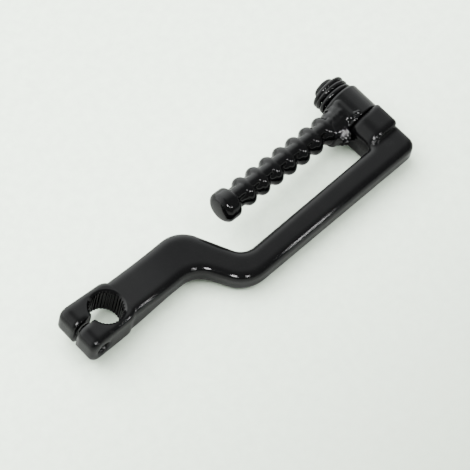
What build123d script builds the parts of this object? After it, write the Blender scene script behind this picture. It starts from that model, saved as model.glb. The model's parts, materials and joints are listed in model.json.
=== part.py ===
"""Folding kick start lever: a splined clamp boss, a cranked arm and a foot peg on a hinge pin.

Millimetres, Z up. The origin is the middle of the splined bore. X runs along the arm towards
the hinge and Y runs along the hinge pin towards its free end. The boss leans against the arm,
so the bore's axis leans from Z towards the hinge.
"""

import os
from math import cos, radians, sin, sqrt, tan

from build123d import *

os.makedirs("parts", exist_ok=True)

# Splined bore and its clamp
bore_tip_diameter = 15.2
bore_root_diameter = 16.3
bore_rim_diameter = 17.8
spline_count = 33
spline_land_share = 0.42
spline_base_share = 0.76
spline_margin = 0.2
clamp_slot_width = 2.5
pinch_hole_diameter = 6.2
pinch_hole_reach = 11.0
pinch_hole_chamfer = 0.6

# Boss round the bore
boss_thickness = 17.0
boss_end_width = 23.8
boss_width = 22.0
boss_end_reach = 17.9
boss_end_top_radius = 5.0
boss_end_bottom_radius = 6.0
boss_shoulder_reach = 10.5
boss_shoulder_radius = 6.0
boss_edge_radius = 2.4
boss_lean = 9.0
boss_lift = 2.0

# Arm seen from above: shank, crank, main run
shank_width = 19.8
shank_offset = -0.35
shank_inset = 0.1
far_bend_reach = 51.4
far_bend_slope = 64.7
near_bend_reach = 44.2
near_bend_slope = 61.0
main_far_edge = -20.1
main_width = 12.6
main_end_width = 13.4
far_bend_radius = 15.0
far_valley_radius = 9.0
near_bend_radius = 17.0
near_valley_radius = 13.0
outer_corner_radius = 5.0

# Arm seen from the side
main_thickness = 12.0
top_ease_radius = 140.0
heel_radius = 20.0
heel_end_reach = 28.0
heel_end_radius = 60.0
edge_radius = 3.0

# Hinge neck at the arm's end
pivot_reach = 153.6
neck_half = 9.45
neck_corner_radius = 2.8
neck_corner_flat = 0.1
neck_root_lap = 0.9
neck_root_radius = 1.0
neck_face = -6.8
neck_back_step = 0.2
neck_face_round = 1.2
neck_back_round = 2.5
arm_end_inset = 0.2

# Hinge pin, pressed into the neck
pin_diameter = 11.0
pin_seat_diameter = 8.5
pin_seat_depth = 17.5
pin_neck_diameter = 9.4
pin_head_diameter = 10.8
pin_head_height = 3.1
pin_head_round = 1.4
hinge_clearance = 0.05
face_clearance = 0.1

# Pedal hub, peg and weld
hub_diameter = 21.4
hub_length = 15.5
hub_end_round = 1.5
hub_neck_round = 0.6
peg_offset = 1.3
peg_rise = 7.3
peg_root_diameter = 10.2
peg_root_depth = 3.2
bead_diameter = 14.3
bead_count = 7
bead_pitch = 8.6
bead_first = 17.4
knob_diameter = 15.1
knob_start = 75.0
knob_crest = 78.6
knob_end = 84.6
knob_edge_round = 2.2
weld_root_diameter = 17.0
weld_end_diameter = 13.0
weld_length = 8.0
weld_end_round = 3.6
weld_side_shift = 2.2
weld_drop = 0.8

# Spring round the pin and the washer that holds it
spring_wire = 2.4
spring_mean_diameter = 15.8
spring_pitch = 2.65
spring_turns = 2.0
spring_closed_angle = 180.0
spring_start_angle = 22.0
washer_diameter = 13.5
washer_thickness = 0.7

# Sizes that follow from the ones above
bore_tip_radius = bore_tip_diameter / 2
bore_root_radius = bore_root_diameter / 2
bore_rim_radius = bore_rim_diameter / 2
boss_half = boss_thickness / 2
lean = radians(boss_lean)
arm_level = -boss_lift
arm_top = arm_level + main_thickness / 2
arm_bottom = arm_level - main_thickness / 2
shank_far = shank_offset + shank_width / 2
shank_near = shank_offset - shank_width / 2
main_near_edge = main_far_edge - main_width
main_end_edge = main_far_edge - main_end_width
far_valley_reach = far_bend_reach + (shank_far - main_far_edge) / tan(radians(far_bend_slope))
near_foot_reach = near_bend_reach + (shank_near - main_near_edge) / tan(radians(near_bend_slope))
neck_left = pivot_reach - neck_half
neck_right = pivot_reach + neck_half
neck_back = main_far_edge - neck_back_step
neck_middle = (neck_face + main_far_edge) / 2
arm_end = neck_right - arm_end_inset
hinge = (pivot_reach, arm_level)
hub_start = neck_face + face_clearance
hub_end = hub_start + hub_length
hub_radius = hub_diameter / 2
pin_radius = pin_diameter / 2
spring_start = hub_end + face_clearance
coil_first = spring_start + spring_wire / 2
coil_last = coil_first + spring_pitch * spring_turns
coil_edge = (spring_mean_diameter - washer_diameter) / 2
washer_start = coil_last + sqrt((spring_wire / 2) ** 2 - coil_edge**2)
washer_end = washer_start + washer_thickness
peg_root_radius = peg_root_diameter / 2
bead_radius = bead_diameter / 2
half_pitch = bead_pitch / 2
knob_radius = knob_diameter / 2
boss_plane = Plane((0, 0, 0), x_dir=(cos(lean), 0, -sin(lean)), z_dir=(sin(lean), 0, cos(lean)))


def on_boss(along, above):
    """A point of the leaning boss, seen from the side."""
    return (along * cos(lean) + above * sin(lean), above * cos(lean) - along * sin(lean))


def is_boss_rim(edge):
    """True for the edges that run round the boss, above and below, and up its split end."""
    middle = boss_plane.to_local_coords(edge.center())
    crosses_the_end = abs(middle.Y) < boss_width / 4 and middle.X < 0
    climbs_the_shoulder = abs(middle.Z) < boss_half / 4 and middle.X > 0
    return not crosses_the_end and not climbs_the_shoulder


def is_rim(edge):
    """True for the top and bottom edges of the arm's outline."""
    direction = edge.tangent_at(0.5)
    crosses_the_shank = abs(direction.Y) > 0.999 and edge.center().X < far_bend_reach
    return abs(direction.Z) < 0.8 and not crosses_the_shank


# Neck block that carries the pin, round where the weld passes over it
with BuildPart() as neck:
    with BuildSketch(Plane.XZ.offset(-neck_face)):
        with BuildLine():
            FilletPolyline(
                (neck_left, arm_level + neck_half),
                (neck_right, arm_level + neck_half),
                (neck_right, arm_level - neck_half),
                (neck_left, arm_level - neck_half),
                radius=[neck_half - neck_corner_flat, neck_corner_radius, neck_corner_radius, neck_corner_radius],
                close=True,
            )
        make_face()
    extrude(amount=neck_face - neck_back)
    fillet(neck.faces().sort_by(Axis.Y)[-1].edges(), radius=neck_face_round)
    fillet(neck.faces().sort_by(Axis.Y)[0].edges(), radius=neck_back_round)

# Boss block, wider at its split end, which is rounded seen from the side
boss_side_plane = Plane((0, 0, 0), x_dir=boss_plane.x_dir, z_dir=(0, -1, 0))
with BuildPart() as boss:
    with BuildSketch(boss_plane) as boss_plan:
        with BuildLine():
            Polyline(
                (-boss_end_reach, boss_end_width / 2),
                (boss_shoulder_reach, boss_width / 2),
                (boss_shoulder_reach, -boss_width / 2),
                (-boss_end_reach, -boss_end_width / 2),
                close=True,
            )
        make_face()
        fillet(boss_plan.vertices().group_by(Axis.X)[-1], radius=boss_shoulder_radius)
    extrude(amount=boss_half, both=True)
    with BuildSketch(boss_side_plane):
        with BuildLine():
            FilletPolyline(
                (-boss_end_reach, boss_half),
                (boss_shoulder_reach, boss_half),
                (boss_shoulder_reach, -boss_half),
                (-boss_end_reach, -boss_half),
                radius=[boss_end_top_radius, 0, 0, boss_end_bottom_radius],
                close=True,
            )
        make_face()
    extrude(amount=boss_end_width, both=True, mode=Mode.INTERSECT)
    fillet(boss.edges().filter_by(is_boss_rim), radius=boss_edge_radius)

# Lever arm: its outline from above, cut to its outline from the side, then rounded all round
plan = [
    ((0, shank_far), 0),
    ((far_bend_reach, shank_far), far_bend_radius),
    ((far_valley_reach, main_far_edge), far_valley_radius),
    ((neck_left + neck_root_lap, main_far_edge), neck_root_radius),
    ((neck_left + neck_root_lap, neck_middle), neck_root_radius),
    ((arm_end, neck_middle), neck_root_radius),
    ((arm_end, main_end_edge), outer_corner_radius),
    ((near_foot_reach, main_near_edge), near_bend_radius),
    ((near_bend_reach, shank_near), near_valley_radius),
    ((0, shank_near), 0),
]
shank_half = boss_half - shank_inset
side = [
    (on_boss(0, shank_half), 0),
    (((shank_half - arm_top * cos(lean)) / sin(lean), arm_top), top_ease_radius),
    ((2 * pivot_reach, arm_top), 0),
    ((2 * pivot_reach, arm_bottom), 0),
    ((heel_end_reach, arm_bottom), heel_end_radius),
    (on_boss(boss_shoulder_reach, -shank_half), heel_radius),
    (on_boss(0, -shank_half), 0),
]
with BuildPart() as lever_arm:
    with BuildSketch(Plane.XY):
        with BuildLine():
            FilletPolyline(*[p for p, r in plan], radius=[r for p, r in plan], close=True)
        make_face()
    extrude(amount=2 * boss_thickness, both=True)
    with BuildSketch(Plane.XZ):
        with BuildLine():
            FilletPolyline(*[p for p, r in side], radius=[r for p, r in side], close=True)
        make_face()
    extrude(amount=pivot_reach, both=True, mode=Mode.INTERSECT)
    fillet(lever_arm.edges().filter_by(is_rim), radius=edge_radius)
    add(boss.part)
    add(neck.part)

    # Splined bore with a countersunk rim on both faces
    land_half = bore_tip_radius * sin(radians(180 * spline_land_share / spline_count))
    base_half = bore_root_radius * sin(radians(180 * spline_base_share / spline_count))
    flank = (base_half - land_half) / (bore_root_radius - bore_tip_radius)
    tooth_in = bore_tip_radius - spline_margin
    tooth_out = bore_root_radius + spline_margin
    margin_half = spline_margin * flank
    with BuildSketch(boss_plane):
        Circle(bore_root_radius)
        with PolarLocations(0, spline_count):
            Polygon(
                (tooth_in, land_half - margin_half),
                (tooth_in, -land_half + margin_half),
                (tooth_out, -base_half - margin_half),
                (tooth_out, base_half + margin_half),
                align=None,
                mode=Mode.SUBTRACT,
            )
        Circle(bore_tip_radius)
    extrude(amount=boss_thickness, both=True, mode=Mode.SUBTRACT)
    rim_depth = bore_rim_radius - bore_tip_radius
    with Locations(boss_plane.location):
        with Locations((0, 0, boss_half - rim_depth / 2)):
            Cone(bore_tip_radius, bore_rim_radius, rim_depth, mode=Mode.SUBTRACT)
        with Locations((0, 0, -boss_half + rim_depth / 2)):
            Cone(bore_rim_radius, bore_tip_radius, rim_depth, mode=Mode.SUBTRACT)

        # Clamp slot from the bore to the end, and the pinch hole across it
        with Locations((-boss_end_reach, 0, 0)):
            Box(2 * boss_end_reach, clamp_slot_width, 2 * boss_thickness, mode=Mode.SUBTRACT)
        pinch_radius = pinch_hole_diameter / 2
        with Locations((-pinch_hole_reach, 0, 0)):
            Cylinder(pinch_radius, 2 * boss_width, rotation=(90, 0, 0), mode=Mode.SUBTRACT)
        taper = (boss_end_width - boss_width) / 2 / (boss_end_reach + boss_shoulder_reach)
        pinch_side = boss_width / 2 + (boss_shoulder_reach + pinch_hole_reach) * taper
        for way in (1, -1):
            with Locations((-pinch_hole_reach, way * pinch_side, 0)):
                Cone(
                    pinch_radius,
                    pinch_radius + 2 * pinch_hole_chamfer,
                    2 * pinch_hole_chamfer,
                    rotation=(-90 * way, 0, 0),
                    mode=Mode.SUBTRACT,
                )

    # Blind seat of the hinge pin
    with BuildSketch(Plane.XZ.offset(-neck_face)):
        with Locations(hinge):
            Circle(pin_seat_diameter / 2)
    extrude(amount=pin_seat_depth, mode=Mode.SUBTRACT)
lever_arm.part.label = "lever_arm"
export_step(lever_arm.part, "parts/lever_arm.step")

# Hinge pin: pressed seat, running shank, neck for the washer and a riveted head
pin_axis = Axis((pivot_reach, 0, arm_level), (0, 1, 0))
with BuildPart() as pivot_pin:
    with BuildSketch(Plane((pivot_reach, 0, arm_level))) as pin_profile:
        with BuildLine():
            head_edge = (pin_head_diameter / 2, washer_end + pin_head_height)
            Polyline(
                (0, washer_end + pin_head_height),
                (0, neck_face - pin_seat_depth),
                (pin_seat_diameter / 2, neck_face - pin_seat_depth),
                (pin_seat_diameter / 2, neck_face),
                (pin_radius, neck_face),
                (pin_radius, washer_start),
                (pin_neck_diameter / 2, washer_start),
                (pin_neck_diameter / 2, washer_end),
                (pin_head_diameter / 2, washer_end),
                head_edge,
                close=True,
            )
        make_face()
        fillet(pin_profile.vertices().sort_by_distance(head_edge)[0], radius=pin_head_round)
    revolve(axis=pin_axis)
pivot_pin.part.label = "pivot_pin"
export_step(pivot_pin.part, "parts/pivot_pin.step")

# Pedal hub that turns on the pin
with BuildPart() as pedal_hub:
    with BuildSketch(Plane.XZ.offset(-hub_start)):
        with Locations(hinge):
            Circle(hub_radius)
            Circle(pin_radius + hinge_clearance, mode=Mode.SUBTRACT)
    extrude(amount=-hub_length)
    rims = pedal_hub.edges().filter_by(lambda edge: edge.is_closed and edge.radius > hub_radius - 0.1)
    fillet(rims.sort_by(Axis.Y)[-1], radius=hub_end_round)
    rims = pedal_hub.edges().filter_by(lambda edge: edge.is_closed and edge.radius > hub_radius - 0.1)
    fillet(rims.sort_by(Axis.Y)[0], radius=hub_neck_round)
pedal_hub.part.label = "pedal_hub"
export_step(pedal_hub.part, "parts/pedal_hub.step")

# Foot peg: a turned bar with a wavy grip and a knob at its end, saddled onto the hub
rise = radians(peg_rise)
peg_seat = (pivot_reach, peg_offset, arm_level)
peg_plane = Plane(peg_seat, x_dir=(-cos(rise), 0, sin(rise)), z_dir=(0, 1, 0))


def wave_flank(start, end):
    """Two like arcs from one level stretch of the peg's outline to another."""
    middle = ((start[0] + end[0]) / 2, (start[1] + end[1]) / 2)
    TangentArc(start, middle, tangent=(1, 0))
    TangentArc(end, middle, tangent=(-1, 0))


with BuildPart() as foot_peg:
    with BuildSketch(peg_plane) as peg_profile:
        with BuildLine():
            peg_start = hub_radius - peg_root_depth
            bead_last = bead_first + bead_pitch * (bead_count - 1)
            Polyline(
                (knob_crest, knob_radius),
                (knob_end, knob_radius),
                (knob_end, 0),
                (peg_start, 0),
                (peg_start, peg_root_radius),
                (bead_first - half_pitch, peg_root_radius),
            )
            for number in range(bead_count):
                crest = bead_first + bead_pitch * number
                wave_flank((crest - half_pitch, peg_root_radius), (crest, bead_radius))
                wave_flank((crest, bead_radius), (crest + half_pitch, peg_root_radius))
            Line((bead_last + half_pitch, peg_root_radius), (knob_start, peg_root_radius))
            wave_flank((knob_start, peg_root_radius), (knob_crest, knob_radius))
        make_face()
        knob_rim = (knob_end, knob_radius)
        fillet(peg_profile.vertices().sort_by_distance(knob_rim)[0], radius=knob_edge_round)
    revolve(axis=Axis(peg_plane.origin, peg_plane.x_dir))
    add(pedal_hub.part, mode=Mode.SUBTRACT)
foot_peg.part.label = "foot_peg"
export_step(foot_peg.part, "parts/foot_peg.step")

# Weld: metal built up round the peg's foot, heavier below and on the side of the neck
weld_start = peg_plane.from_local_coords((hub_radius, -weld_drop, -weld_side_shift))
weld_plane = Plane(weld_start, x_dir=(0, 1, 0), z_dir=peg_plane.x_dir)
with BuildPart() as peg_weld:
    with BuildSketch(weld_plane.offset(-hub_radius)):
        Circle(weld_root_diameter / 2)
    extrude(amount=hub_radius)
    with BuildSketch(weld_plane):
        Circle(weld_root_diameter / 2)
    with BuildSketch(weld_plane.offset(weld_length)):
        Circle(weld_end_diameter / 2)
    loft()
    fillet(peg_weld.edges().sort_by_distance(foot_peg.part.center())[0], radius=weld_end_round)
    with BuildSketch(Plane.XZ.offset(-hub_start)):
        with Locations(hinge):
            Circle(pin_radius + hinge_clearance)
    extrude(amount=-hub_length, mode=Mode.SUBTRACT)
    add(pedal_hub.part, mode=Mode.SUBTRACT)
    add(foot_peg.part, mode=Mode.SUBTRACT)
    with BuildSketch(Plane.XZ.offset(-hub_end)):
        with Locations(hinge):
            Circle(knob_end)
    extrude(amount=hub_length - face_clearance, mode=Mode.INTERSECT)
peg_weld.part.label = "peg_weld"
export_step(peg_weld.part, "parts/peg_weld.step")

# Spring: an open helix between two closed end coils, drawn upright and then laid on the pin
spring_radius = spring_mean_diameter / 2
coil_height = spring_pitch * spring_turns
coil_turn = 360 * spring_turns
with BuildPart() as coil:
    with BuildLine() as coil_path:
        Helix(spring_pitch, coil_height, spring_radius, lefthand=True)
    with BuildSketch(Plane.XZ):
        with Locations((spring_radius, 0)):
            Circle(spring_wire / 2)
    sweep(path=coil_path.line, is_frenet=True)
    for angle, height in ((0, 0), (-coil_turn - spring_closed_angle, coil_height)):
        outward = Vector(1, 0, 0).rotate(Axis.Z, angle)
        with BuildSketch(Plane((0, 0, 0), x_dir=outward, z_dir=outward.cross(Vector(0, 0, 1)))):
            with Locations((spring_radius, height)):
                Circle(spring_wire / 2)
        revolve(axis=Axis.Z, revolution_arc=spring_closed_angle)
turn = radians(spring_start_angle)
coil_start = (pivot_reach, coil_first, arm_level)
coil_seat = Plane(coil_start, x_dir=(cos(turn), 0, sin(turn)), z_dir=(0, 1, 0))
with BuildPart() as detent_spring:
    with Locations(coil_seat.location):
        add(coil.part)
detent_spring.part.label = "detent_spring"
export_step(detent_spring.part, "parts/detent_spring.step")

# Washer between the spring and the riveted pin head
with BuildPart() as spring_washer:
    with BuildSketch(Plane.XZ.offset(-washer_start)):
        with Locations(hinge):
            Circle(washer_diameter / 2)
            Circle(pin_neck_diameter / 2, mode=Mode.SUBTRACT)
    extrude(amount=-washer_thickness)
spring_washer.part.label = "spring_washer"
export_step(spring_washer.part, "parts/spring_washer.step")
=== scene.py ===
# %% [markdown]
# # A kick start lever in black gloss paint
# The lever is a forged, cranked arm with a splined clamp at one end and a beaded foot peg that folds
# on a sprung pin at the other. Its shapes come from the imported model, which is loaded here as a fixed
# frame. This lesson adds what the model doesn't hold: the paint, the oily black steel, the ridges along
# the peg, the runs of weld metal at its foot, a table, a room of soft light and a camera.

# %% Load the frame
import json
import math

import bmesh
import bpy
import numpy as np
from mathutils import Matrix, Vector


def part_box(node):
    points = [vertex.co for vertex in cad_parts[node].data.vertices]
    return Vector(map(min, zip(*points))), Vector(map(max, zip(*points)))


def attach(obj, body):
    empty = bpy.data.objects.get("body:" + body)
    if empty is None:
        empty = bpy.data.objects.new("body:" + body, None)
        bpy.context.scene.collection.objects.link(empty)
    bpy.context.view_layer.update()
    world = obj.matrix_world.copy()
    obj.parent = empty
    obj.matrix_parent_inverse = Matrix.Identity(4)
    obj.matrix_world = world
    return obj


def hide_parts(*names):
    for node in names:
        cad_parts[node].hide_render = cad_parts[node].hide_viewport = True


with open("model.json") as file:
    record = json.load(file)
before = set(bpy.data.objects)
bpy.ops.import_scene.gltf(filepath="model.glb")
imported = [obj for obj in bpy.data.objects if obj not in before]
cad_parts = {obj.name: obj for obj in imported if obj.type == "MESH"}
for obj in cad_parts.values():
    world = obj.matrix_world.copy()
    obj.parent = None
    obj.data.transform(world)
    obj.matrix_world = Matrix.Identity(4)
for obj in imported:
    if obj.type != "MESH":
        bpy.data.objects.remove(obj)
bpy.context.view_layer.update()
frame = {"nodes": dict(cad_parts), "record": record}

MM = 0.001
print("nodes:", sorted(frame["nodes"]))

# %% [markdown]
# ## Where the lever lies
# A lever that is put down on a table rolls until three points carry it. On this one they are the heel of
# the boss, the pedal's hub and a low corner of the neck, so the table isn't level in the lever's own
# frame. The three points could be typed in, but then a change of size would leave the lever floating.
# Instead a convex hull is wrapped round the lower vertices, and the table is the hull's facet that lies
# under the centre of mass.

# %% The lever's weight


def node_triangles(node):
    """The corners of a node's triangles, as an array of triangle, corner and coordinate."""
    mesh = node.data
    mesh.calc_loop_triangles()
    corners = np.empty(len(mesh.loop_triangles) * 3, np.int32)
    mesh.loop_triangles.foreach_get("vertices", corners)
    places = np.empty(len(mesh.vertices) * 3, np.float32)
    mesh.vertices.foreach_get("co", places)
    return places.reshape(-1, 3)[corners].reshape(-1, 3, 3).astype(float)


triangles = np.concatenate([node_triangles(node) for node in frame["nodes"].values()])
spans = np.einsum("ij,ij->i", triangles[:, 0], np.cross(triangles[:, 1], triangles[:, 2])) / 6
centre_of_mass = (spans[:, None] * triangles.sum(axis=1) / 4).sum(axis=0) / spans.sum()
print("centre of mass in mm:", (centre_of_mass / MM).round(2))

# %% The table's plane
LOWER_PART = -5.0 * MM
FACES_DOWN = -0.5


def table_plane():
    """A point of the table and its upward normal, from the hull's facet under the centre of mass."""
    low = triangles.reshape(-1, 3)
    low = np.unique(low[low[:, 2] < LOWER_PART].round(5), axis=0)
    hull = bmesh.new()
    for place in low:
        hull.verts.new(place)
    bmesh.ops.convex_hull(hull, input=hull.verts)
    for facet in hull.faces:
        corners = [vertex.co.copy() for vertex in facet.verts]
        turns = []
        for one, other in zip(corners, corners[1:] + corners[:1]):
            side = other - one
            to_centre = Vector(centre_of_mass) - one
            turns.append(side.x * to_centre.y - side.y * to_centre.x)
        if facet.normal.z < FACES_DOWN and (min(turns) >= 0 or max(turns) <= 0):
            plane = corners[0], -facet.normal.copy()
    hull.free()
    return plane


table_point, table_up = table_plane()
print("table normal:", [round(c, 4) for c in table_up])

# %% [markdown]
# ## The camera
# The picture looks down on the lever from the side of its boss, with a long lens, so that it has little
# perspective. A long lens far away is the choice for any small part that should keep its proportions.

# %% Camera
CAMERA_PLACE = Vector((-227.03, -252.88, 800.47)) * MM
CAMERA_TARGET = Vector((73.74, -6.27, -11.14)) * MM
PICTURE_UP = Vector((0.60338, 0.67284, 0.42804))
LENS = 151.66
SENSOR = 36.0
FARTHEST_SEEN = 20.0

view_back = (CAMERA_PLACE - CAMERA_TARGET).normalized()
view_right = PICTURE_UP.cross(view_back).normalized()
view_up = view_back.cross(view_right)

bpy.ops.object.select_all(action="DESELECT")
bpy.ops.object.camera_add(location=CAMERA_PLACE)
camera = bpy.context.object
camera.rotation_euler = Matrix((view_right, view_up, view_back)).transposed().to_euler()
camera.data.lens = LENS
camera.data.sensor_width = SENSOR
camera.data.clip_end = FARTHEST_SEEN
bpy.context.scene.camera = camera
print("camera is", round((CAMERA_PLACE - CAMERA_TARGET).length, 3), "m away")

# %% [markdown]
# ## Directions in the room
# The lights are easier to think of as a photographer does: how far round from straight ahead, and how
# high above the table. Zero degrees is straight away from the camera, and right is positive.

# %% Room directions
away = (-view_back + view_back.dot(table_up) * table_up).normalized()
right = away.cross(table_up)


def room_direction(around, height):
    """The direction that lies so many degrees round to the right and so many degrees up."""
    around = math.radians(around)
    height = math.radians(height)
    level = away * math.cos(around) + right * math.sin(around)
    return level * math.cos(height) + table_up * math.sin(height)


print("straight away:", [round(c, 3) for c in away], "to the right:", [round(c, 3) for c in right])

# %% [markdown]
# ## Table
# The table is one pale, slightly green sheet. It reaches far past the lever, so that the gloss paint
# mirrors it all round. A backdrop that curves up would hide the horizon, but the camera looks down so
# steeply that a flat plane is enough.

# %% Table
TABLE_SIZE = 4.0

bpy.ops.object.select_all(action="DESELECT")
bpy.ops.mesh.primitive_plane_add(size=TABLE_SIZE, location=table_point)
table = bpy.context.object
table.name = "table"
table.rotation_euler = table_up.to_track_quat("Z", "Y").to_euler()
print("table laid at", [round(c / MM, 2) for c in table_point], "mm")

# %% [markdown]
# ## Tools for finishes
# A finish is a tree of nodes that ends in a Principled shader. The same few nodes come back in each one:
# a noise for what is never quite even, a ramp that sets how far it goes, and a blend of two colours. Each
# gets a short function, so that a finish reads almost as a recipe. The noise is read in the piece's own
# coordinates, so that it stays on the piece when the pedal folds.

# %% Tools for finishes
NOISE_SPREAD = (0.3, 0.7)


def new_material(name):
    """A material with its tree of nodes and its shader."""
    material = bpy.data.materials.new(name)
    material.use_nodes = True
    return material, material.node_tree, material.node_tree.nodes["Principled BSDF"]


def noise(tree, scale, detail=2.0, roughness=0.5):
    """A noise on the piece's own metres, with so many lumps to the metre."""
    place = tree.nodes.new("ShaderNodeTexCoord")
    lumps = tree.nodes.new("ShaderNodeTexNoise")
    lumps.inputs["Scale"].default_value = scale
    lumps.inputs["Detail"].default_value = detail
    lumps.inputs["Roughness"].default_value = roughness
    tree.links.new(place.outputs["Object"], lumps.inputs["Vector"])
    return lumps.outputs["Fac"]


def ramp(tree, factor, low, high, low_value, high_value):
    """Turns a factor from low to high into a value from low_value to high_value."""
    mapping = tree.nodes.new("ShaderNodeMapRange")
    mapping.inputs["From Min"].default_value = low
    mapping.inputs["From Max"].default_value = high
    mapping.inputs["To Min"].default_value = low_value
    mapping.inputs["To Max"].default_value = high_value
    tree.links.new(factor, mapping.inputs["Value"])
    return mapping.outputs["Result"]


def two_colours(tree, factor, first, second):
    """A blend of two colours."""
    blend = tree.nodes.new("ShaderNodeMix")
    blend.data_type = "RGBA"
    blend.inputs["A"].default_value = first
    blend.inputs["B"].default_value = second
    tree.links.new(factor, blend.inputs["Factor"])
    return blend.outputs["Result"]


print("most of a noise lies between", *NOISE_SPREAD)

# %% [markdown]
# ## Table finish
# A faint mottle keeps the table from looking like a sheet of pure light, and a painted shade darkens
# its colour a little towards the near right, where the room is darker. A table that is lit to near full
# white would make a grey lever, so what mirrors see of it is duller, as if through a polarising filter.

# %% Table finish
TABLE_PALE = (0.755, 0.875, 0.72, 1.0)
TABLE_DULL = (0.665, 0.77, 0.635, 1.0)
TABLE_MIRRORED = (0.245, 0.255, 0.24, 1.0)
# Painted shade: the darker table colour towards the near right, where the room gives less light.
TABLE_PAINTED_SHADE = (0.36, 0.41, 0.34, 1.0)
PAINTED_SHADE_SPAN = (-0.06, 0.24)
TABLE_MOTTLE = 200.0
TABLE_ROUGHNESS = 0.75
TABLE_SHINE = 0.2


def table_finish():
    """A mottled sheet with a painted shade towards one side, and duller in mirrors."""
    material, tree, shader = new_material("table_finish")
    lumps = noise(tree, TABLE_MOTTLE, detail=5.0, roughness=0.6)
    sheet = two_colours(tree, ramp(tree, lumps, *NOISE_SPREAD, 0.0, 1.0), TABLE_PALE, TABLE_DULL)
    place = tree.nodes.new("ShaderNodeNewGeometry")
    towards = tree.nodes.new("ShaderNodeVectorMath")
    towards.operation = "DOT_PRODUCT"
    towards.inputs[1].default_value = (right - away).normalized()
    tree.links.new(place.outputs["Position"], towards.inputs[0])
    # Painted shade: the sheet's colour blends to the darker one towards the near right.
    painted_shade_mask = ramp(tree, towards.outputs["Value"], *PAINTED_SHADE_SPAN, 0.0, 1.0)
    painted_shade_mask.node.interpolation_type = "SMOOTHSTEP"
    painted_shade = two_colours(tree, painted_shade_mask, TABLE_PALE, TABLE_PAINTED_SHADE)
    tree.links.new(sheet, painted_shade.node.inputs["A"])
    rays = tree.nodes.new("ShaderNodeLightPath")
    seen = two_colours(tree, rays.outputs["Is Glossy Ray"], TABLE_PALE, TABLE_MIRRORED)
    tree.links.new(painted_shade, seen.node.inputs["A"])
    tree.links.new(seen, shader.inputs["Base Color"])
    shader.inputs["Roughness"].default_value = TABLE_ROUGHNESS
    shader.inputs["Specular IOR Level"].default_value = TABLE_SHINE
    return material


table.data.materials.append(table_finish())
print("table wears", table.active_material.name)

# %% [markdown]
# ## Black gloss paint
# Black gloss shows almost no colour of its own: what one sees is the room in it. So the finish is a very
# dark base under a hard gloss, and all the care goes into its surface. Sprayed paint dries with a fine
# orange peel, and a forged arm is never quite flat below it. Both are bumps of about a hundredth of a
# millimetre, one short and one long, laid one over the other. A forging's faces also swell a little
# between their edges. The mesh could be given more curve, but the eye only meets it in the mirrored
# light, so a Bevel node bends the normals near the edges, away from the crisp teeth of the bore.

# %% Bumps and swollen faces
FORGED_ROUND = 3.5 * MM
BEVEL_SAMPLES = 8
BORE_RING = (9.5 * MM, 12.5 * MM)
bore_axis = next(mount["axis"] for mount in frame["record"]["mounts"] if mount["name"] == "splined_bore")


def bump(tree, height, depth, under=None):
    """A bump of the given depth in metres, on top of another one if there is one."""
    node = tree.nodes.new("ShaderNodeBump")
    node.inputs["Strength"].default_value = 1.0
    node.inputs["Distance"].default_value = depth
    tree.links.new(height, node.inputs["Height"])
    if under is not None:
        tree.links.new(under, node.inputs["Normal"])
    return node.outputs["Normal"]


def swollen_faces(tree):
    """The normals of faces that swell between their edges, outside the ring round the splined bore."""
    soft = tree.nodes.new("ShaderNodeBevel")
    soft.samples = BEVEL_SAMPLES
    soft.inputs["Radius"].default_value = FORGED_ROUND
    place = tree.nodes.new("ShaderNodeTexCoord")
    beside = tree.nodes.new("ShaderNodeVectorMath")
    beside.operation = "CROSS_PRODUCT"
    beside.inputs[1].default_value = bore_axis
    tree.links.new(place.outputs["Object"], beside.inputs[0])
    reach = tree.nodes.new("ShaderNodeVectorMath")
    reach.operation = "LENGTH"
    tree.links.new(beside.outputs["Vector"], reach.inputs[0])
    blend = tree.nodes.new("ShaderNodeMix")
    blend.data_type = "VECTOR"
    true_normal = tree.nodes.new("ShaderNodeNewGeometry")
    tree.links.new(ramp(tree, reach.outputs["Value"], *BORE_RING, 0.0, 1.0), blend.inputs["Factor"])
    tree.links.new(true_normal.outputs["Normal"], blend.inputs["A"])
    tree.links.new(soft.outputs["Normal"], blend.inputs["B"])
    return blend.outputs["Result"]


print("bore runs along", [round(c, 3) for c in bore_axis])

# %% Paint
PAINT_DEEP = (0.0010, 0.0010, 0.0012, 1.0)
PAINT_THIN = (0.0022, 0.0022, 0.0023, 1.0)
PAINT_GLOSS = 0.25
PAINT_ROUGHNESS = (0.05, 0.10)
CLOUD_SCALE = 160.0
HAZE_SCALE = 240.0
PEEL_SCALE = 620.0
PEEL_DEPTH = 0.006 * MM
FORGING_SCALE = 105.0
FORGING_DEPTH = 0.014 * MM


def black_paint(name, forged_arm=False):
    """Sprayed black gloss, with the swollen faces of a forging if it lies on the arm."""
    material, tree, shader = new_material(name)
    cloud = noise(tree, CLOUD_SCALE, detail=3.0)
    tree.links.new(two_colours(tree, cloud, PAINT_DEEP, PAINT_THIN), shader.inputs["Base Color"])
    haze = ramp(tree, noise(tree, HAZE_SCALE, detail=3.0), *NOISE_SPREAD, *PAINT_ROUGHNESS)
    tree.links.new(haze, shader.inputs["Roughness"])
    shader.inputs["Specular IOR Level"].default_value = PAINT_GLOSS
    faces = swollen_faces(tree) if forged_arm else None
    forged = bump(tree, noise(tree, FORGING_SCALE, detail=1.0), FORGING_DEPTH, under=faces)
    peel = bump(tree, noise(tree, PEEL_SCALE, detail=1.0), PEEL_DEPTH, under=forged)
    tree.links.new(peel, shader.inputs["Normal"])
    return material


paint = black_paint("black_paint")
arm_paint = black_paint("black_paint_on_forging", forged_arm=True)
print("paints:", paint.name, "and", arm_paint.name)

# %% [markdown]
# ## Blackened steel
# The pin, the spring and its washer are blackened and oiled. Steel usually gets a metallic shader, but a
# black coat hides the metal, so this finish is a dark gloss like the paint's: a little paler where it has
# worn, with a wet shine from the oil and a fine grain.

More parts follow.
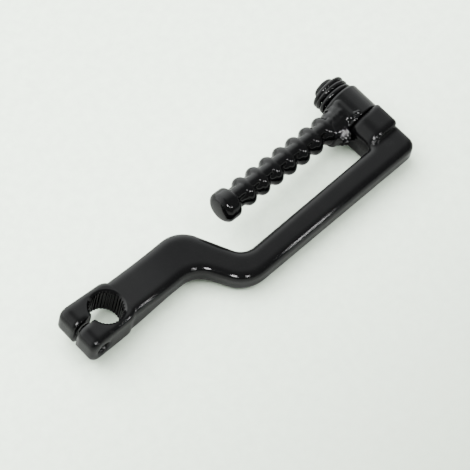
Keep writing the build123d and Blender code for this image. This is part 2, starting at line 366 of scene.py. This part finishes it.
# %% Blackened steel
STEEL_DARK = (0.0014, 0.0014, 0.0015, 1.0)
STEEL_WORN = (0.0045, 0.0045, 0.0047, 1.0)
STEEL_ROUGHNESS = (0.04, 0.09)
WEAR_SCALE = 420.0
OIL_SCALE = 700.0
GRAIN_SCALE = 900.0
GRAIN_DEPTH = 0.006 * MM


def blackened_steel():
    """Dark steel with worn clouds under a film of oil."""
    material, tree, shader = new_material("blackened_steel")
    cloud = noise(tree, WEAR_SCALE, detail=4.0)
    tree.links.new(two_colours(tree, cloud, STEEL_DARK, STEEL_WORN), shader.inputs["Base Color"])
    oil = ramp(tree, noise(tree, OIL_SCALE, detail=3.0), *NOISE_SPREAD, *STEEL_ROUGHNESS)
    tree.links.new(oil, shader.inputs["Roughness"])
    shader.inputs["Specular IOR Level"].default_value = PAINT_GLOSS
    tree.links.new(bump(tree, noise(tree, GRAIN_SCALE), GRAIN_DEPTH), shader.inputs["Normal"])
    return material


steel = blackened_steel()


def dress(node_name, material):
    """Gives a node of the frame its finish."""
    slots = frame["nodes"][node_name].data.materials
    slots.clear()
    slots.append(material)


dress("lever_arm", arm_paint)
dress("pedal_hub", paint)
for blackened in ("pivot_pin", "detent_spring", "spring_washer"):
    dress(blackened, steel)
print("dressed the arm and the hub in paint, and the pin, spring and washer in", steel.name)

# %% [markdown]
# ## The peg's own directions
# The peg and its weld stand askew in the lever's frame: the peg rises a little as it leaves the hub.
# Blobs of metal are easier to lay in the peg's own directions: along it, above it, and across it
# towards the neck.

# %% Peg and hub
PEG_RISE = math.radians(7.3)
PEG_SIDE = 1.3 * MM
hub_low, hub_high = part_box("pedal_hub")
hub_axis = Vector(((hub_low.x + hub_high.x) / 2, PEG_SIDE, (hub_low.z + hub_high.z) / 2))
hub_radius = (hub_high.x - hub_low.x) / 2
peg_along = Vector((-math.cos(PEG_RISE), 0, math.sin(PEG_RISE)))
peg_above = Vector((math.sin(PEG_RISE), 0, math.cos(PEG_RISE)))
peg_across = Vector((0, -1, 0))
peg_turn = Matrix((peg_above, peg_across, peg_above.cross(peg_across))).transposed().to_euler()
NO_TURN = (0, 0, 0)


def on_peg(along, above, across):
    """A place given along the peg from the hub's axis, above it, and across it towards the neck."""
    return hub_axis + peg_along * along + peg_above * above + peg_across * across


print("hub radius in mm:", round(hub_radius / MM, 2), "peg runs along", [round(c, 3) for c in peg_along])

# %% [markdown]
# ## Melting metal together
# Ridges and weld runs have no edges: they flow into what they lie on. They could be sculpted by hand, but
# a lesson should give the same piece each time it runs. So stretched balls are laid into a copy of the
# frame's mesh, a voxel remesh makes one skin of them, and smoothing lets the skin flow.

# %% Tools for melting metal
MERGE_GAP = 0.001 * MM
BALL_SEGMENTS = 20
BALL_RINGS = 12
SMOOTH_FACTOR = 0.5


def select_only(thing):
    """Leaves one object selected and active."""
    bpy.ops.object.select_all(action="DESELECT")
    thing.select_set(True)
    bpy.context.view_layer.objects.active = thing


def apply_modifier(thing, kind, **settings):
    """Adds a modifier, sets it up and applies it."""
    select_only(thing)
    modifier = thing.modifiers.new(kind.lower(), kind)
    for setting, value in settings.items():
        setattr(modifier, setting, value)
    bpy.ops.object.modifier_apply(modifier=modifier.name)


def metal_copy(name, node_name):
    """A new piece with a copy of a node's mesh, its loose triangles joined at their corners."""
    piece = bpy.data.objects.new(name, frame["nodes"][node_name].data.copy())
    bpy.context.scene.collection.objects.link(piece)
    select_only(piece)
    bpy.ops.object.mode_set(mode="EDIT")
    bpy.ops.mesh.select_all(action="SELECT")
    bpy.ops.mesh.remove_doubles(threshold=MERGE_GAP)
    bpy.ops.object.mode_set(mode="OBJECT")
    return piece


def melt_in(piece, blobs, voxel, smoothing):
    """Adds blobs of metal to a piece, melts them into one skin and smooths it."""
    balls = []
    for place, size, turn in blobs:
        bpy.ops.object.select_all(action="DESELECT")
        bpy.ops.mesh.primitive_uv_sphere_add(
            segments=BALL_SEGMENTS,
            ring_count=BALL_RINGS,
            radius=1.0,
            location=place,
            rotation=turn,
            scale=size,
        )
        balls.append(bpy.context.object)
    select_only(piece)
    for ball in balls:
        ball.select_set(True)
    bpy.ops.object.join()
    apply_modifier(piece, "REMESH", mode="VOXEL", voxel_size=voxel)
    apply_modifier(piece, "SMOOTH", factor=SMOOTH_FACTOR, iterations=smoothing)


def finish_metal(piece, node_name):
    """Smooth shading, paint, and the piece's place in the frame."""
    select_only(piece)
    bpy.ops.object.shade_smooth()
    piece.data.materials.clear()
    piece.data.materials.append(paint)
    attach(piece, "pedal")
    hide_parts(node_name)
    print(piece.name, "has", len(piece.data.polygons), "faces")


print("each ball has", BALL_SEGMENTS * BALL_RINGS, "faces")

# %% [markdown]
# ## Foot peg
# The peg has its beads on both sides, and a smooth ridge runs along its top, so that the grooves end at
# the ridge, as on a forging. The underside is taken to be the same. The frame has the peg as a turned
# shape. Its grooves could be filled one by one, but a row of long blobs along the top of a copy, and one
# along the underside, fills them all alike. A shallow blob crowns the knob's end, which a forging seldom
# leaves flat.

# %% Peg
BEAD_RADIUS = 7.15 * MM
RIDGE_ALONG = (13.0 * MM, 75.0 * MM)
RIDGE_STEPS = 20
RIDGE_SINK = 0.25 * MM
RIDGE_SIZE = Vector((2.6, 3.1, 9.0)) * MM
KNOB_END_ALONG = 84.6 * MM
KNOB_END_SIZE = Vector((6.2, 6.2, 0.8)) * MM
PEG_VOXEL = 0.3 * MM
PEG_SMOOTHING = 9


def peg_blobs():
    """Place, size and turn of the ridges' overlapping blobs and of the knob's crown."""
    blobs = [(on_peg(KNOB_END_ALONG, 0, 0), KNOB_END_SIZE, peg_turn)]
    first, last = RIDGE_ALONG
    for number in range(RIDGE_STEPS + 1):
        along = first + (last - first) * number / RIDGE_STEPS
        above = BEAD_RADIUS - RIDGE_SINK - RIDGE_SIZE.x
        blobs.append((on_peg(along, above, 0), RIDGE_SIZE, peg_turn))
        blobs.append((on_peg(along, -above, 0), RIDGE_SIZE, peg_turn))
    return blobs


peg = metal_copy("beaded_peg", "foot_peg")
melt_in(peg, peg_blobs(), PEG_VOXEL, PEG_SMOOTHING)
finish_metal(peg, "foot_peg")

# %% [markdown]
# ## Weld
# The peg is welded to its hub by hand: a fat smooth filler all round, then short overlapping runs on the
# side of the neck, painted over. The frame holds the weld as a plain collar. Ripples could be a bump in
# the paint, but they break the outline too, so they are modelled: blobs are laid round a copy of the
# collar, a voxel remesh melts them into one skin, and smoothing rounds the creases as paint does. That
# is done twice, once for the filler, which is smoothed a lot, and once for the runs, smoothed a little.

# %% Weld filler
FILLER_BALLS = 16
# In mm: along the peg, above it, across it on the far and on the near side, and the ball's radius
FILLER_RINGS = (
    (8.2, 6.2, 5.0, 6.6, 3.1),
    (11.8, 4.7, 3.8, 7.3, 3.0),
    (15.0, 3.4, 3.2, 5.3, 2.9),
)
# In mm: along the peg, above it, the ball's radius, and the row's first and last place across it
FILLER_ROWS = (
    (3.2, 6.9, 3.1, -4.0, 4.8),
    (5.7, 6.6, 3.1, -3.6, 4.8),
)
FILLER_VOXEL = 0.35 * MM
FILLER_SMOOTHING = 30


def filler_ring(along, above, far_across, near_across, ball):
    """A ring of balls round the peg, which bulges on the side of the neck. Sizes are in millimetres."""
    blobs = []
    for number in range(FILLER_BALLS):
        turn = math.tau * number / FILLER_BALLS
        side = math.sin(turn)
        across = side * (near_across if side > 0 else far_across)
        place = on_peg(along * MM, above * MM * math.cos(turn), across * MM)
        blobs.append((place, Vector((ball, ball, ball)) * MM, NO_TURN))
    return blobs


def hub_rows(along, above, ball, first, last):
    """Rows of balls above and below the peg, which lead the filler out of the hub. Sizes are in mm."""
    blobs = []
    for number in range(FILLER_BALLS):
        across = first + (last - first) * number / (FILLER_BALLS - 1)
        for side in (above, -above):
            place = on_peg(along * MM, side * MM, across * MM)
            blobs.append((place, Vector((ball, ball, ball)) * MM, NO_TURN))
    return blobs


filler = []
for ring in FILLER_RINGS:
    filler += filler_ring(*ring)
for row in FILLER_ROWS:
    filler += hub_rows(*row)
weld = metal_copy("weld_runs", "peg_weld")
melt_in(weld, filler, FILLER_VOXEL, FILLER_SMOOTHING)
print("filler of", len(filler), "balls")

# %% Patch and ripples
PATCH_PLACE = Vector((13.0, 3.8, 8.2)) * MM
PATCH_TILT = math.radians(24)
PATCH_LEAN = math.radians(36)
PATCH_BED = Vector((0.9, 3.0, 3.0)) * MM
PATCH_FACE = Vector((0.35, 3.3, 3.3)) * MM
PATCH_RISE = 0.6 * MM
patch_out = peg_above * math.cos(PATCH_TILT) + peg_across * math.sin(PATCH_TILT)
patch_down = peg_across * math.cos(PATCH_TILT) - peg_above * math.sin(PATCH_TILT)
patch_normal = patch_out * math.cos(PATCH_LEAN) + peg_along * math.sin(PATCH_LEAN)
patch_beside = patch_normal.cross(patch_down)
patch_turn = Matrix((patch_normal, patch_down, patch_beside)).transposed().to_euler()
RIPPLES = 4
RIPPLE_PITCH = 1.45 * MM
RIPPLE_SIZE = Vector((0.25, 2.6, 0.6)) * MM
RIPPLE_RISE = 0.83 * MM
RIPPLE_SWING = 0.4 * MM


def uneven(number, beat):
    """A value from -1 to 1 that changes from one blob to the next, as a hand does, the same on each run."""
    return math.sin(beat * number)


def ripple_blobs():
    """A flat patch of metal on a thicker bed, and shallow ripples that lie side by side across it."""
    middle = on_peg(*PATCH_PLACE)
    blobs = [(middle, PATCH_BED, patch_turn), (middle + patch_normal * PATCH_RISE, PATCH_FACE, patch_turn)]
    for number in range(RIPPLES):
        shift = patch_beside * RIPPLE_PITCH * (number - (RIPPLES - 1) / 2)
        swing = patch_down * RIPPLE_SWING * uneven(number, beat=2.1)
        place = middle + patch_normal * RIPPLE_RISE + shift + swing
        blobs.append((place, RIPPLE_SIZE, patch_turn))
    return blobs


ripples = ripple_blobs()
print("patch of", len(ripples), "blobs faces", [round(c, 3) for c in patch_normal])

# %% Lumps and tacks
LOW_LUMPS = 9
LOW_LUMP = 1.6 * MM
LUMP_FIRST = math.radians(80)
LUMP_STEP = math.radians(12)
LUMP_ALONG = 11.4 * MM
LUMP_WANDER = 1.6 * MM
LUMP_ABOVE = 7.2 * MM
LUMP_ACROSS = 10.6 * MM
LUMP_UNEVEN = 0.2
TACKS = 8
TACK = 1.4 * MM
TACK_SINK = 0.85 * MM
TACK_FIRST = math.radians(10)
TACK_STEP = math.radians(8)
TACK_SIDE = 2.0 * MM
TACK_WANDER = 0.6 * MM


def lump_blobs():
    """Lumps of a lower run that show under the patch."""
    blobs = []
    for number in range(LOW_LUMPS):
        turn = LUMP_FIRST + LUMP_STEP * number
        along = LUMP_ALONG + LUMP_WANDER * uneven(number, beat=1.7)
        size = LOW_LUMP * (1 + LUMP_UNEVEN * uneven(number, beat=3.1))
        place = on_peg(along, LUMP_ABOVE * math.cos(turn), LUMP_ACROSS * math.sin(turn))
        blobs.append((place, Vector((size, size, size)), NO_TURN))
    return blobs


def tack_blobs():
    """A low tack along the hub's rim."""
    blobs = []
    reach = hub_radius - TACK_SINK
    for number in range(TACKS):
        lean = TACK_FIRST + TACK_STEP * number
        side = hub_low.y + TACK_SIDE + TACK_WANDER * uneven(number, beat=2.2)
        place = Vector((hub_axis.x - reach * math.sin(lean), side, hub_axis.z + reach * math.cos(lean)))
        blobs.append((place, Vector((TACK, TACK, TACK)), NO_TURN))
    return blobs


lumps = lump_blobs()
tacks = tack_blobs()
print(len(lumps), "lumps and", len(tacks), "tacks")

# %% Weld runs
RUN_VOXEL = 0.24 * MM
RUN_SMOOTHING = 4

melt_in(weld, ripples + lumps + tacks, RUN_VOXEL, RUN_SMOOTHING)
print(weld.name, "has", len(weld.data.polygons), "faces before it is cut clear")

# %% [markdown]
# ## Room to turn
# The weld turns with the hub, past the neck on one side and the spring on the other, and round the pin.
# Whatever would rub is cut off by three round bars on the hinge's axis, so that the cuts stay clear at
# every angle of the pedal. The cut for the pin lies inside the hub's wall, where nobody sees it.

# %% Room for the neck, the spring and the pin
HUB_FACE_GAP = 0.1 * MM
FACE_CLEAR_RADIUS = 11.3 * MM
PIN_CLEAR_RADIUS = 8.0 * MM
CUT_LENGTH = 40.0 * MM
CUT_SIDES = 96


def cut_round(piece, radius, middle):
    """Cuts a long round bar out of a piece, on the hinge's axis, with its middle at the given Y."""
    bpy.ops.object.select_all(action="DESELECT")
    bpy.ops.mesh.primitive_cylinder_add(
        vertices=CUT_SIDES,
        radius=radius,
        depth=CUT_LENGTH,
        location=(hub_axis.x, middle, hub_axis.z),
        rotation=(math.pi / 2, 0, 0),
    )
    cutter = bpy.context.object
    apply_modifier(piece, "BOOLEAN", operation="DIFFERENCE", object=cutter, solver="EXACT")
    bpy.data.objects.remove(cutter)


cut_round(weld, FACE_CLEAR_RADIUS, hub_low.y + HUB_FACE_GAP - CUT_LENGTH / 2)
cut_round(weld, FACE_CLEAR_RADIUS, hub_high.y - HUB_FACE_GAP + CUT_LENGTH / 2)
cut_round(weld, PIN_CLEAR_RADIUS, (hub_low.y + hub_high.y) / 2)
finish_metal(weld, "peg_weld")

# %% [markdown]
# ## Light
# A glossy black thing is lit by what it mirrors. The room is bright low down on the far left, as from
# a pale wall by a window, and dim behind the camera, so flat tops turn grey and rounded edges run to
# black. A wide glow from the upper left and a weaker one from the right light the table and aren't
# mirrored. Small lamps behind the camera and on the right make the sharp glints and leave the table
# alone. The one on the right stands near, so its streak covers only a stretch of the main run.

# %% Room
ROOM_DIM = 0.3
WALL_BRIGHT = 3.3
WALL_DIRECTION = room_direction(-45, 0)
WALL_EDGE = (-0.25, 0.85)
WALL_TOP = (0.85, 1.06)
ROOM_TINT = (0.97, 1.0, 0.985, 1.0)

world = bpy.data.worlds.new("room")
bpy.context.scene.world = world
world.use_nodes = True
room = world.node_tree
background = room.nodes["Background"]
room_place = room.nodes.new("ShaderNodeTexCoord")


def facing(direction):
    """How far each direction of the room points along the one given."""
    product = room.nodes.new("ShaderNodeVectorMath")
    product.operation = "DOT_PRODUCT"
    product.inputs[1].default_value = direction
    room.links.new(room_place.outputs["Generated"], product.inputs[0])
    return product.outputs["Value"]


def smooth_step(value, low, high, low_value, high_value):
    """A soft step between two values."""
    result = ramp(room, value, low, high, low_value, high_value)
    result.node.interpolation_type = "SMOOTHSTEP"
    return result


wall_side = smooth_step(facing(WALL_DIRECTION), *WALL_EDGE, 0.0, WALL_BRIGHT)
wall_top = smooth_step(facing(table_up), *WALL_TOP, 1.0, 0.0)
wall = room.nodes.new("ShaderNodeMath")
wall.operation = "MULTIPLY_ADD"
wall.inputs[2].default_value = ROOM_DIM
room.links.new(wall_side, wall.inputs[0])
room.links.new(wall_top, wall.inputs[1])
room.links.new(wall.outputs[0], background.inputs["Strength"])
background.inputs["Color"].default_value = ROOM_TINT
print("room from", ROOM_DIM, "to", ROOM_DIM + WALL_BRIGHT)

# %% Lamps


def soft_lamp(name, around, height, distance, width, depth, brightness, mirrored=True, lights_table=True):
    """A flat lamp that faces the lever. A larger one of the same brightness gets more energy."""
    direction = room_direction(around, height)
    bpy.ops.object.select_all(action="DESELECT")
    bpy.ops.object.light_add(type="AREA", location=CAMERA_TARGET + direction * distance)
    lamp = bpy.context.object
    lamp.name = name
    lamp.rotation_euler = direction.to_track_quat("Z", "Y").to_euler()
    lamp.data.shape = "RECTANGLE"
    lamp.data.size = width
    lamp.data.size_y = depth
    lamp.data.energy = brightness * math.pi * width * depth
    lamp.visible_glossy = mirrored
    lamp.visible_diffuse = lights_table
    lamp.visible_camera = False
    return lamp


soft_lamp(
    "window_glow", around=-60, height=62, distance=0.85,
    width=1.0, depth=1.0, brightness=12.5, mirrored=False,
)
soft_lamp(
    "right_glow", around=95, height=55, distance=0.9,
    width=0.5, depth=0.5, brightness=12.0, mirrored=False,
)
soft_lamp(
    "left_tube", around=-174, height=45, distance=1.6,
    width=0.24, depth=0.28, brightness=130.0, lights_table=False,
)
soft_lamp(
    "right_tube", around=154, height=40, distance=1.6,
    width=0.16, depth=0.2, brightness=90.0, lights_table=False,
)
soft_lamp(
    "right_near", around=110, height=30.9, distance=0.31,
    width=0.032, depth=0.021, brightness=110.0, lights_table=False,
)
